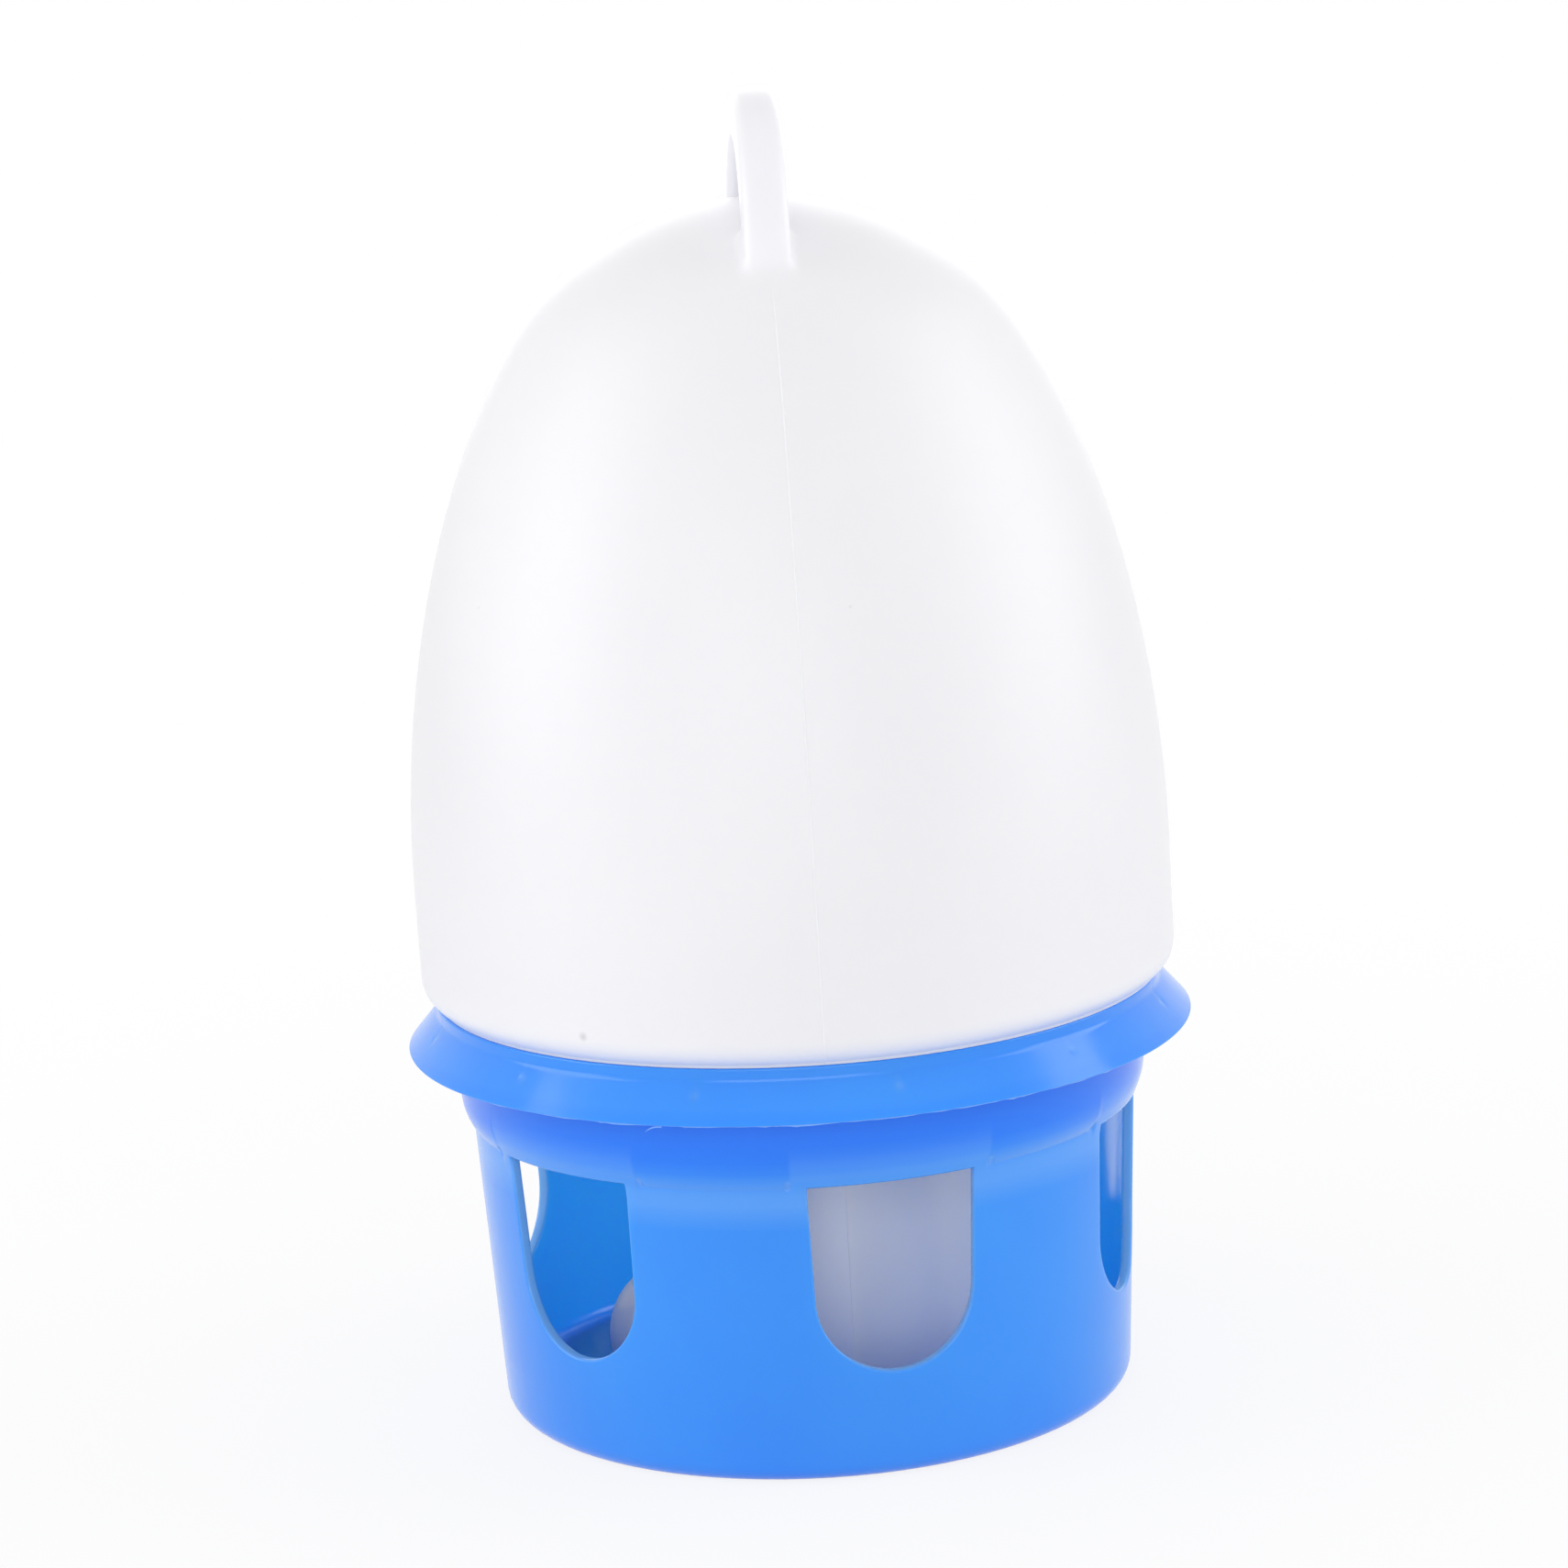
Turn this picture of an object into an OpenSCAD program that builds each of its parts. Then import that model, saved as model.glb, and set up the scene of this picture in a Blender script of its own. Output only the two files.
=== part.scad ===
// Gravity drinker for poultry, pigeons and small stock: a white blow-moulded tank that stands
// mouth down in a blue moulded base. The base is a cup with drinking windows, a wider collar
// above them and a rain skirt. The tank has a neck below and a carrying loop on its crown.
// Origin: middle of the base's underside, +Z up. The tank's parting plane and its loop lie in
// the YZ plane. All sizes are in millimetres and all angles in degrees.

/* [Cup] */
// Outer radius of the cup wall at the step under the collar
cup_top_r = 67.8; // [60:0.1:76]
// Height of the step, which is also the top of the windows
step_z = 60.9; // [52:0.1:70]
// Draft of the cup wall
cup_draft = 3.05; // [1:0.05:5]
// Thickness of every wall of the base
base_wall = 2.2; // [1.6:0.1:3]
// Thickness of the cup floor
floor_t = 2.4; // [1.6:0.1:4]
// Rounding of the cup's bottom edge, outside
foot_round = 4.2; // [3:0.1:7]

/* [Windows] */
// Number of drinking windows around the cup
window_count = 6; // [4:1:7]
// Width of a window at its top
window_top_w = 33.4; // [26:0.1:38]
// Width of a window where its round end starts
window_low_w = 31.8; // [24:0.1:34]
// Height of a window's lowest point above the ground
window_sill_z = 22.1; // [16:0.1:28]
// Turn of the first window from the -Y side towards +X
window_turn = 10.8; // [0:0.1:30]

/* [Collar and skirt] */
// How far the collar stands out beyond the cup wall
collar_step = 2.3; // [1.5:0.1:3.5]
// Radius of the rounding that leads down from the collar to the step
collar_round = 11.2; // [8:0.1:16]
// Height of the collar from the step up to the rim
collar_h = 25.8; // [22:0.1:32]
// Width of the flat rim outside the collar
rim_w = 3.8; // [2.6:0.1:5]
// Height of the skirt's upright band below the rim
rim_band = 2.5; // [1.8:0.1:4]
// How far the skirt slopes out beyond the rim
skirt_flare = 6.1; // [4:0.1:9]
// Fall of the skirt's slope from the band to its lip
skirt_fall = 7; // [6:0.1:10]
// Height of the upright lip along the skirt's lower edge
skirt_lip = 0.3; // [0.2:0.1:2]
// Number of webs between the collar and the skirt
web_count = 12; // [6:1:18]
// Thickness of one web
web_t = 1.2; // [0.8:0.1:2]
// How far the webs stop short of the skirt's lower edge
web_inset = 2; // [0.5:0.1:4]

/* [Tank] */
// Thickness of the tank's wall
tank_wall = 1.6; // [1.2:0.1:2.4]
// Height of the tank from its seat on the rim to its crown
tank_h = 158.9; // [140:0.1:180]
// How far the tank's seat stops short of the rim's outer edge
seat_inset = 2.6; // [0.4:0.1:4]
// Radius of the rounding above the seat
heel_round = 5.5; // [4:0.1:9]
// Height of the upright wall above the seat
wall_rise = 25.3; // [16:0.1:32]
// How far the shoulder lies in from the upright wall
shoulder_in = 29.9; // [26:0.1:36]
// How far the shoulder lies below the crown
shoulder_drop = 21.5; // [17:0.1:25]
// Lean of the surface at the shoulder, from upright
shoulder_lean = 37.3; // [33:0.1:43]
// Length of the curve's pull above the upright wall
flank_pull = 55; // [44:0.5:62]
// Length of the curve's pull below the shoulder
shoulder_pull = 19.9; // [14:0.1:28]
// Length of the curve's pull above the shoulder
brow_pull = 13.1; // [9:0.1:16]
// Length of the curve's pull beside the crown
crown_pull = 21.7; // [16:0.1:26]
// How deep the tank's plug reaches into the collar
plug_depth = 12; // [8:0.1:15]
// Clearance around the plug in the collar
plug_gap = 0.4; // [0.3:0.1:1]
// Rounding of the plug's bottom edge
plug_round = 4; // [2.5:0.1:6]

/* [Neck] */
// Outer radius of the neck
neck_r = 36; // [30:0.1:40]
// Height of the neck's mouth above the cup floor
mouth_gap = 5.6; // [4:0.1:8]
// Rounding where the neck leaves the plug
neck_flare = 4; // [2:0.1:6]
// Width of the rib along the parting plane
seam_rib_w = 10; // [6:0.1:14]
// How far that rib stands out from the neck
seam_rib_h = 2; // [1:0.1:3]
// Radius of the two round lugs at the mouth
lug_r = 14.8; // [12:0.1:17]
// How far a lug stands out from the neck
lug_reach = 7.2; // [4:0.1:8]
// Height of a lug's middle above the mouth
lug_rise = 4.6; // [3:0.1:8]
// Width of the air notches in the mouth's edge
notch_w = 12; // [8:0.1:16]
// Height of the air notches, which sets the water level
notch_h = 9; // [6:0.1:12]

/* [Carrying loop] */
// Outer radius of the loop
loop_r = 37.5; // [34:0.1:42]
// Thickness of the loop's bar, seen from the side
loop_bar = 10.5; // [8:0.1:12]
// Height of the loop above the tank's crown
loop_rise = 21.4; // [20:0.1:28]
// Width of the loop at its top
loop_top_w = 8.7; // [7:0.1:11]
// Width of the loop at its feet
loop_foot_w = 9.2; // [7.5:0.1:12]

/* [Hidden] */
$fn = 180;
// Straight pieces that each curved stretch of an outline is made of
curve_steps = 18;
// How far a cutting shape runs past what it cuts
past = 1;
base_blue = [0.25, 0.55, 1.0];
tank_white = [0.96, 0.96, 0.97];

// Base, worked out
rim_z = step_z + collar_h;
cup_foot_r = cup_top_r - step_z * tan(cup_draft);
cup_bore_r = cup_top_r - base_wall;
collar_r = cup_top_r + collar_step;
collar_bore_r = collar_r - base_wall;
rim_r = collar_r + rim_w;
skirt_r = rim_r + skirt_flare;
band_z = rim_z - rim_band;
lip_z = band_z - skirt_fall;
skirt_z = lip_z - skirt_lip;
skirt_slope = atan2(skirt_fall, skirt_flare);
collar_turn = acos(1 - collar_step / collar_round);
collar_arc_z = step_z + collar_round * sin(collar_turn);
window_pitch = 360 / window_count;
window_end_z = window_sill_z + window_low_w / 2;

// Tank, worked out
seat_r = rim_r - seat_inset;
tank_r = seat_r + heel_round;
crown_z = rim_z + tank_h;
shoulder = [tank_r - shoulder_in, crown_z - shoulder_drop];
shoulder_dir = [-sin(shoulder_lean), cos(shoulder_lean)];
plug_r = collar_bore_r - plug_gap;
plug_z = rim_z - plug_depth;
neck_bore_r = neck_r - tank_wall;
mouth_z = floor_t + mouth_gap;
lug_x = neck_r + lug_reach - lug_r;
lug_z = mouth_z + lug_rise;
loop_z = crown_z + loop_rise - loop_r;

// Points on an arc, from angle a0 to a1
function arc(centre, r, a0, a1) =
    [for (i = [0 : curve_steps]) let (a = a0 + (a1 - a0) * i / curve_steps)
        centre + r * [cos(a), sin(a)]];

// A curve with four control points, and the direction in which it runs
function curve_point(c, t) = pow(1 - t, 3) * c[0] + 3 * pow(1 - t, 2) * t * c[1]
    + 3 * (1 - t) * t * t * c[2] + pow(t, 3) * c[3];
function curve_way(c, t) = pow(1 - t, 2) * (c[1] - c[0]) + 2 * (1 - t) * t * (c[2] - c[1])
    + t * t * (c[3] - c[2]);

// The same curve, moved inward by the thickness of the wall
function curve_inside(c, t, wall) = let (w = curve_way(c, t))
    curve_point(c, t) + wall / norm(w) * [-w[1], w[0]];

flank = [[tank_r, rim_z + wall_rise], [tank_r, rim_z + wall_rise + flank_pull],
    shoulder - shoulder_pull * shoulder_dir, shoulder];
crown = [shoulder, shoulder + brow_pull * shoulder_dir, [crown_pull, crown_z], [0, crown_z]];

// Tank outline above the seat, from the seat's outer edge to the crown, at a depth in the wall
function tank_side(depth) = concat(
    arc([seat_r, rim_z + heel_round], heel_round - depth, -90, 0),
    [for (i = [0 : curve_steps]) curve_inside(flank, i / curve_steps, depth)],
    [for (i = [1 : curve_steps]) curve_inside(crown, i / curve_steps, depth)]);

// Outline of the plug below the seat, at a depth in the wall, from its flat bottom up
function plug_side(depth) =
    arc([plug_r - plug_round, plug_z + plug_round], plug_round - depth, -90, 0);

module tank_solid() {
    rotate_extrude()
        polygon(concat([[0, plug_z]], plug_side(0), [[plug_r, rim_z]], tank_side(0)));
}

module drinking_cup() {
    foot = arc([cup_foot_r + foot_round * (tan(cup_draft) - 1 / cos(cup_draft)), foot_round],
        foot_round, -90, -cup_draft);
    inner_round = foot_round - base_wall / 2;
    bore_foot_r = cup_bore_r - step_z * tan(cup_draft);
    inside = arc([bore_foot_r + (floor_t + inner_round) * tan(cup_draft)
        - inner_round / cos(cup_draft), floor_t + inner_round], inner_round, -cup_draft, -90);
    color(base_blue)
        difference() {
            rotate_extrude()
                polygon(concat([[0, 0]], foot, [[cup_top_r, step_z], [cup_bore_r, step_z]],
                    inside, [[0, floor_t]]));
            for (i = [0 : window_count - 1])
                rotate([0, 0, window_turn + i * window_pitch])
                    window_cut();
        }
}

// One drinking window, cut towards -Y: straight sides that close in a little, and a round end
module window_cut() {
    rotate([90, 0, 0])
        linear_extrude(cup_top_r + past) {
            translate([0, window_end_z])
                circle(d = window_low_w);
            polygon([[-window_low_w / 2, window_end_z], [window_low_w / 2, window_end_z],
                [window_top_w / 2, step_z + past], [-window_top_w / 2, step_z + past]]);
        }
}

module seat_collar() {
    centre = [collar_r - collar_round, collar_arc_z];
    color(base_blue)
        rotate_extrude()
            polygon(concat([[cup_bore_r, step_z]], arc(centre, collar_round, -collar_turn, 0),
                [[collar_r, rim_z], [collar_bore_r, rim_z]],
                arc(centre, collar_round - base_wall, 0, -collar_turn),
                [[cup_bore_r, collar_arc_z - (collar_round - base_wall) * sin(collar_turn)]]));
}

// How far out the skirt's slope lies at height z, at a depth in its wall
function slope_x(depth, z) = rim_r - depth / sin(skirt_slope) + (band_z - z) / tan(skirt_slope);

module rain_skirt() {
    roof_z = rim_z - base_wall;
    roof_x = max(collar_r + 0.1, slope_x(base_wall, roof_z));
    color(base_blue) {
        rotate_extrude()
            polygon([[collar_r, rim_z], [rim_r, rim_z], [rim_r, band_z], [skirt_r, lip_z],
                [skirt_r, skirt_z], [slope_x(base_wall, skirt_z), skirt_z],
                [roof_x, roof_z], [collar_r, roof_z]]);
        difference() {
            for (i = [0 : web_count - 1])
                rotate([0, 0, window_turn - 90 + i * 360 / web_count])
                    skirt_web();
            cylinder(r = collar_r, h = rim_z);
        }
    }
}

// One web from the collar into the middle of the skirt's wall, along +X
module skirt_web() {
    half = base_wall / 2;
    foot_z = skirt_z + web_inset;
    rotate([90, 0, 0])
        linear_extrude(web_t, center = true)
            polygon([[collar_r - past, rim_z - half], [slope_x(half, rim_z - half), rim_z - half],
                [slope_x(half, foot_z), foot_z], [collar_r - past, foot_z]]);
}

module tank_shell() {
    color(tank_white)
        difference() {
            tank_solid();
            rotate_extrude()
                polygon(concat([[0, plug_z + tank_wall]], plug_side(tank_wall),
                    [[plug_r - tank_wall, rim_z + tank_wall]], tank_side(tank_wall)));
            translate([0, 0, plug_z - past])
                cylinder(r = neck_bore_r, h = tank_wall + 2 * past);
        }
}

module tank_neck() {
    neck_h = plug_z - mouth_z;
    color(tank_white)
        intersection() {
            difference() {
                union() {
                    rotate_extrude()
                        polygon(concat([[0, mouth_z], [neck_r, mouth_z]],
                            arc([neck_r + neck_flare, plug_z - neck_flare], neck_flare, 180, 90),
                            [[0, plug_z]]));
                    intersection() {
                        translate([0, 0, mouth_z])
                            cylinder(r = neck_r + seam_rib_h, h = neck_h);
                        translate([-seam_rib_w / 2, -neck_r - seam_rib_h, mouth_z])
                            cube([seam_rib_w, 2 * (neck_r + seam_rib_h), neck_h]);
                    }
                    lugs(lug_r);
                }
                translate([0, 0, mouth_z - past])
                    cylinder(r = neck_bore_r, h = neck_h + 2 * past);
                lugs(lug_r - tank_wall);
                air_notches();
            }
            translate([0, 0, mouth_z])
                cylinder(r = neck_r + lug_reach + past, h = neck_h);
        }
}

// The round lugs on both sides of the parting plane, or the hollows inside them
module lugs(r) {
    for (side = [-1, 1])
        translate([side * lug_x, 0, lug_z])
            sphere(r = r);
}

// Notches through the mouth's edge, between the seam ribs and the lugs
module air_notches() {
    rotate([0, 0, -45])
        translate([-notch_w / 2, -neck_r - past, mouth_z - past])
            cube([notch_w, 2 * (neck_r + past), notch_h + past]);
}

module carry_handle() {
    foot_z = shoulder[1];
    top_z = crown_z + loop_rise;
    color(tank_white)
        difference() {
            intersection() {
                translate([0, 0, loop_z])
                    rotate([0, 90, 0])
                        difference() {
                            cylinder(r = loop_r, h = loop_foot_w, center = true);
                            cylinder(r = loop_r - loop_bar, h = loop_foot_w + past, center = true);
                        }
                rotate([90, 0, 0])
                    linear_extrude(2 * loop_r, center = true)
                        polygon([[-loop_foot_w / 2, foot_z], [loop_foot_w / 2, foot_z],
                            [loop_top_w / 2, top_z], [-loop_top_w / 2, top_z]]);
            }
            tank_solid();
        }
}

drinking_cup();
seat_collar();
rain_skirt();
tank_shell();
tank_neck();
carry_handle();
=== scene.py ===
import math
import bmesh
import bpy
from mathutils import Matrix, Vector, noise


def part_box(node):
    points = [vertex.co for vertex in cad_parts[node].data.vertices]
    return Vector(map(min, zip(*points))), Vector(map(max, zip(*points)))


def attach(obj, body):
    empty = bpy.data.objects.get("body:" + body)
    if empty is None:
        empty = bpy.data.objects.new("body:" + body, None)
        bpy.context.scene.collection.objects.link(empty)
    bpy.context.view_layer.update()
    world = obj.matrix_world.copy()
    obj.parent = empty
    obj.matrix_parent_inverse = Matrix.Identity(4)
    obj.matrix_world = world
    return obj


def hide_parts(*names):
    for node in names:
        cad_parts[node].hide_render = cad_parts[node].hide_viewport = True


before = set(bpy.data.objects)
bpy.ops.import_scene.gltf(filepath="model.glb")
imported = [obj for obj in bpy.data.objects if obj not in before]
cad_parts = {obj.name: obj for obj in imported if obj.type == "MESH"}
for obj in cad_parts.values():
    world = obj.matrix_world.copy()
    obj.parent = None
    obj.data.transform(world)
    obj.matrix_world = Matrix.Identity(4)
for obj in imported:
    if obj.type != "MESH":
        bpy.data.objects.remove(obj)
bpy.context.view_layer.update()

# Lengths below are in millimetres, but in metres for the camera, the materials and the studio.
# Angles are in degrees. Angles round the drinker start at its front, the -Y side, and run
# towards +X.
mm = 0.001


def nodeBox(name):
    low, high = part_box(name)
    return low / mm, high / mm


def aroundPoint(radius, angle, z):
    turn = math.radians(angle)
    return Vector((radius * math.sin(turn), -radius * math.cos(turn), z))


def smoothStep(low, high, value):
    share = min(1, max(0, (value - low) / (high - low)))
    return share * share * (3 - 2 * share)


def mix(a, b, share):
    return a + (b - a) * share


# Corners that carry a radius turn into arcs: path holds (x, z, radius)
def roundCorners(path, steps=5):
    points = []
    for i, (x, z, radius) in enumerate(path):
        here = Vector((x, z))
        if radius == 0 or i in (0, len(path) - 1):
            points.append(here)
            continue
        back = (Vector(path[i - 1][:2]) - here).normalized()
        ahead = (Vector(path[i + 1][:2]) - here).normalized()
        half = back.angle(ahead) / 2
        centre = here + (back + ahead).normalized() * radius / math.sin(half)
        start = here + back * radius / math.tan(half) - centre
        end = here + ahead * radius / math.tan(half) - centre
        sweep = start.angle_signed(end)
        for step in range(steps + 1):
            arm = start.copy()
            arm.rotate(Matrix.Rotation(-sweep * step / steps, 2))
            points.append(centre + arm)
    return points


# Splits the long stretches of an outline
def fillSteps(points, longest):
    filled = [points[0]]
    for a, b in zip(points, points[1:]):
        count = max(1, math.ceil((b - a).length / longest))
        filled += [a.lerp(b, step / count) for step in range(1, count + 1)]
    return filled


# Faces between rows of points that have the same length
def addGrid(bm, rows, closed=False):
    made = [[bm.verts.new(point * mm) for point in row] for row in rows]
    for rowA, rowB in zip(made, made[1:]):
        last = len(rowA) if closed else len(rowA) - 1
        for i in range(last):
            j = (i + 1) % len(rowA)
            bm.faces.new((rowA[i], rowA[j], rowB[j], rowB[i]))
    return made


# Closes a ring with a fan of faces round a point
def closeRing(bm, ring, point):
    middle = bm.verts.new(point * mm)
    for i, vert in enumerate(ring):
        bm.faces.new((vert, ring[(i + 1) % len(ring)], middle))


def finishMesh(bm, name, sharpAngle, weld=2e-6):
    bmesh.ops.remove_doubles(bm, verts=bm.verts, dist=weld)
    bmesh.ops.dissolve_degenerate(bm, edges=bm.edges, dist=weld)
    bmesh.ops.recalc_face_normals(bm, faces=bm.faces)
    mesh = bpy.data.meshes.new(name)
    bm.to_mesh(mesh)
    bm.free()
    mesh.shade_smooth()
    mesh.set_sharp_from_angle(angle=math.radians(sharpAngle))
    piece = bpy.data.objects.new(name, mesh)
    bpy.context.scene.collection.objects.link(piece)
    return piece


# Camera

camera = {
    "place": (-0.0526, -0.9711, 0.3262),
    "heading": 3.072,  # from +Y towards +X
    "pitch": 11.602,  # downwards
    "roll": 3.245,  # the drinker leans left in the view
    "lens": 112.26,
    "sensor": 36.0,
    "near": 0.05,
    "far": 60.0,
}


def addCamera():
    heading, pitch, roll = (math.radians(camera[key]) for key in ("heading", "pitch", "roll"))
    forward = Vector((math.sin(heading) * math.cos(pitch), math.cos(heading) * math.cos(pitch),
                      -math.sin(pitch)))
    level = Vector((math.cos(heading), -math.sin(heading), 0))
    above = level.cross(forward)
    right = level * math.cos(roll) - above * math.sin(roll)
    up = level * math.sin(roll) + above * math.cos(roll)
    data = bpy.data.cameras.new("camera")
    data.lens = camera["lens"]
    data.sensor_width = camera["sensor"]
    data.clip_start = camera["near"]
    data.clip_end = camera["far"]
    rig = bpy.data.objects.new("camera", data)
    rig.matrix_world = Matrix.Translation(camera["place"]) @ Matrix(
        (right, up, -forward)).transposed().to_4x4()
    bpy.context.scene.collection.objects.link(rig)
    bpy.context.scene.camera = rig


addCamera()
print("camera placed")


# Materials

def newMaterial(name):
    material = bpy.data.materials.new(name)
    material.use_nodes = True
    material.node_tree.nodes.clear()
    output = material.node_tree.nodes.new("ShaderNodeOutputMaterial")
    return material, material.node_tree, output


def addNode(tree, kind, inputs=None, **settings):
    node = tree.nodes.new(kind)
    for key, value in settings.items():
        setattr(node, key, value)
    for socket, value in (inputs or {}).items():
        if isinstance(value, bpy.types.NodeSocket):
            tree.links.new(value, node.inputs[socket])
        else:
            node.inputs[socket].default_value = value
    return node


# A soft random pattern of the given grain, in metres
def addNoise(tree, place, grain, detail=2.0, stretch=None):
    if stretch:
        place = addNode(tree, "ShaderNodeMapping", {"Vector": place, "Scale": stretch}).outputs[0]
    return addNode(tree, "ShaderNodeTexNoise",
                   {"Vector": place, "Scale": 1 / grain, "Detail": detail}).outputs["Fac"]


def addRange(tree, value, low, high, fromLow=0.3, fromHigh=0.7):
    return addNode(tree, "ShaderNodeMapRange",
                   {"Value": value, "From Min": fromLow, "From Max": fromHigh,
                    "To Min": low, "To Max": high}).outputs["Result"]


def addColours(tree, value, first, second):
    ramp = addNode(tree, "ShaderNodeValToRGB", {"Fac": value})
    ramp.color_ramp.elements[0].position = 0.3
    ramp.color_ramp.elements[0].color = (*first, 1)
    ramp.color_ramp.elements[1].position = 0.7
    ramp.color_ramp.elements[1].color = (*second, 1)
    return ramp.outputs["Color"]


def addMix(tree, share, colour, other):
    return addNode(tree, "ShaderNodeMix", {"Factor": share, 6: colour, 7: (*other, 1)},
                   data_type="RGBA").outputs[2]


def addBump(tree, height, distance, normal=None):
    inputs = {"Height": height, "Distance": distance, "Strength": 1.0}
    if normal:
        inputs["Normal"] = normal
    return addNode(tree, "ShaderNodeBump", inputs).outputs["Normal"]


def addPlastic(tree, output, plastic, colour, flow, glow, normal):
    shader = addNode(tree, "ShaderNodeBsdfPrincipled", {
        "Base Color": colour,
        "Roughness": addRange(tree, flow, plastic["glossLow"], plastic["glossHigh"]),
        "IOR": plastic["ior"],
        "Subsurface Weight": glow,
        "Subsurface Radius": plastic["glowReach"],
        "Subsurface Scale": plastic["glowScale"],
        "Normal": normal,
    })
    tree.links.new(shader.outputs[0], output.inputs["Surface"])


# 1 where a surface is seen by the camera, in a gloss or through something clear
def seenDirectly(tree):
    rays = addNode(tree, "ShaderNodeLightPath")
    seen = rays.outputs["Is Camera Ray"]
    for kind in ("Is Glossy Ray", "Is Transmission Ray"):
        seen = addNode(tree, "ShaderNodeMath", {0: seen, 1: rays.outputs[kind]},
                       operation="MAXIMUM").outputs[0]
    return seen


bluePlastic = {
    "deep": (0.022, 0.262, 1.0),
    "light": (0.034, 0.300, 1.0),
    # painted light: the inner side is paler, for the light that comes through the walls into the
    # cup
    "inside": (0.100, 0.345, 1.0),
    "edge": (0.190, 0.460, 1.0),  # painted glow: paler where the wall is cut or runs out thin, for the light that shines through the thin plastic there
    "collar": (0.006, 0.205, 1.0),  # painted shade: the ring under the skirt is a deeper blue, for the skirt's shadow on it
    "band": (0.085, 0.345, 1.0),  # painted light: the top of the cup wall just above the windows is painted a paler blue, as a lit band
    "collarFrom": 0.0035,  # heights above the step, in metres as all lengths here
    "bandFrom": -0.006,
    "bandTo": 0.001,
    "zoneFade": 0.0025,  # each of the two runs out over this height, up and down
    "flowGrain": 0.055,
    "ripple": (0.012, 0.00010),  # grain and height
    "drag": (0.0012, 0.000006),  # faint lines from the mould, which run up and down
    "dragStretch": (1, 1, 0.02),
    "fine": (0.0004, 0.000003),
    "ior": 1.49,
    "glossLow": 0.13,
    "glossHigh": 0.22,
    "glowOutside": 0.2,
    "glowInside": 1.0,
    "glowFrom": 0.75,  # depth in the wall at which the inner side's glow sets in
    "glowReach": (0.15, 0.45, 1.0),
    "glowScale": 0.022,
}


# The mesh says how deep in the wall each point lies: 0 on the outer side, 1 on the inner side
def bluePolypropylene(step, lip):
    material, tree, output = newMaterial("blue_polypropylene")
    place = addNode(tree, "ShaderNodeTexCoord").outputs["Object"]
    depth = addNode(tree, "ShaderNodeAttribute", attribute_name="wallDepth").outputs["Fac"]
    flow = addNoise(tree, place, bluePlastic["flowGrain"], 3.0)
    patterns = {
        "ripple": addNoise(tree, place, bluePlastic["ripple"][0], 1.0),
        "drag": addNoise(tree, place, bluePlastic["drag"][0], 2.0, bluePlastic["dragStretch"]),
        "fine": addNoise(tree, place, bluePlastic["fine"][0], 3.0),
    }
    normal = None
    for name, pattern in patterns.items():
        normal = addBump(tree, pattern, bluePlastic[name][1], normal)
    colour = addColours(tree, flow, bluePlastic["deep"], bluePlastic["light"])
    height = addNode(tree, "ShaderNodeSeparateXYZ", {0: place}).outputs["Z"]
    fade = bluePlastic["zoneFade"]
    # Painted shade on the collar under the skirt, and a painted paler band at the top of the cup
    # wall, both laid on by height
    for name, low, high in (("collar", step + bluePlastic["collarFrom"], lip),
                            ("band", step + bluePlastic["bandFrom"],
                             step + bluePlastic["bandTo"])):
        above = addRange(tree, height, 0.0, 1.0, low - fade, low + fade)
        below = addRange(tree, height, 1.0, 0.0, high - fade, high + fade)
        both = addNode(tree, "ShaderNodeMath", {0: above, 1: below}, operation="MULTIPLY")
        colour = addMix(tree, both.outputs[0], colour, bluePlastic[name])
    # Painted light: the inner side of the wall is made paler
    colour = addMix(tree, depth, colour, bluePlastic["inside"])
    # Painted glow at the cut edges, where the depth lies between the two sides of the wall
    offMiddle = addNode(tree, "ShaderNodeMath", {0: depth, 1: 0.5}, operation="SUBTRACT")
    offMiddle = addNode(tree, "ShaderNodeMath", {0: offMiddle.outputs[0]}, operation="ABSOLUTE")
    edge = addRange(tree, offMiddle.outputs[0], 1.0, 0.0, 0.25, 0.5)
    colour = addMix(tree, edge, colour, bluePlastic["edge"])
    glow = addRange(tree, depth, bluePlastic["glowOutside"], bluePlastic["glowInside"],
                    bluePlastic["glowFrom"], 1.0)
    addPlastic(tree, output, bluePlastic, colour, flow, glow, normal)
    return material


milkyPlastic = {
    "deep": (0.885, 0.882, 0.925),
    "light": (0.900, 0.895, 0.935),
    # painted light: the neck is tinted blue for the blue light thrown on it from the cup around it
    "neck": (0.900, 0.945, 1.0),
    "neckFade": 0.001,
    "flowGrain": 0.06,
    "ripple": (0.02, 0.00008),  # grain and height
    "satin": (0.0009, 0.000012),
    "ior": 1.5,
    "glossLow": 0.36,
    "glossHigh": 0.46,
    "glow": 0.4,
    "glowReach": (0.9, 0.9, 1.0),
    "glowScale": 0.003,
    # angle, height and radius in millimetres, and darkness of the small specks in the wall
    "specks": ((-36.0, 92.6, 1.15, 0.42), (-59.4, 172.6, 0.45, 0.25), (8.5, 173.6, 0.4, 0.2)),
    "speckColour": (0.30, 0.29, 0.27),
}


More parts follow.
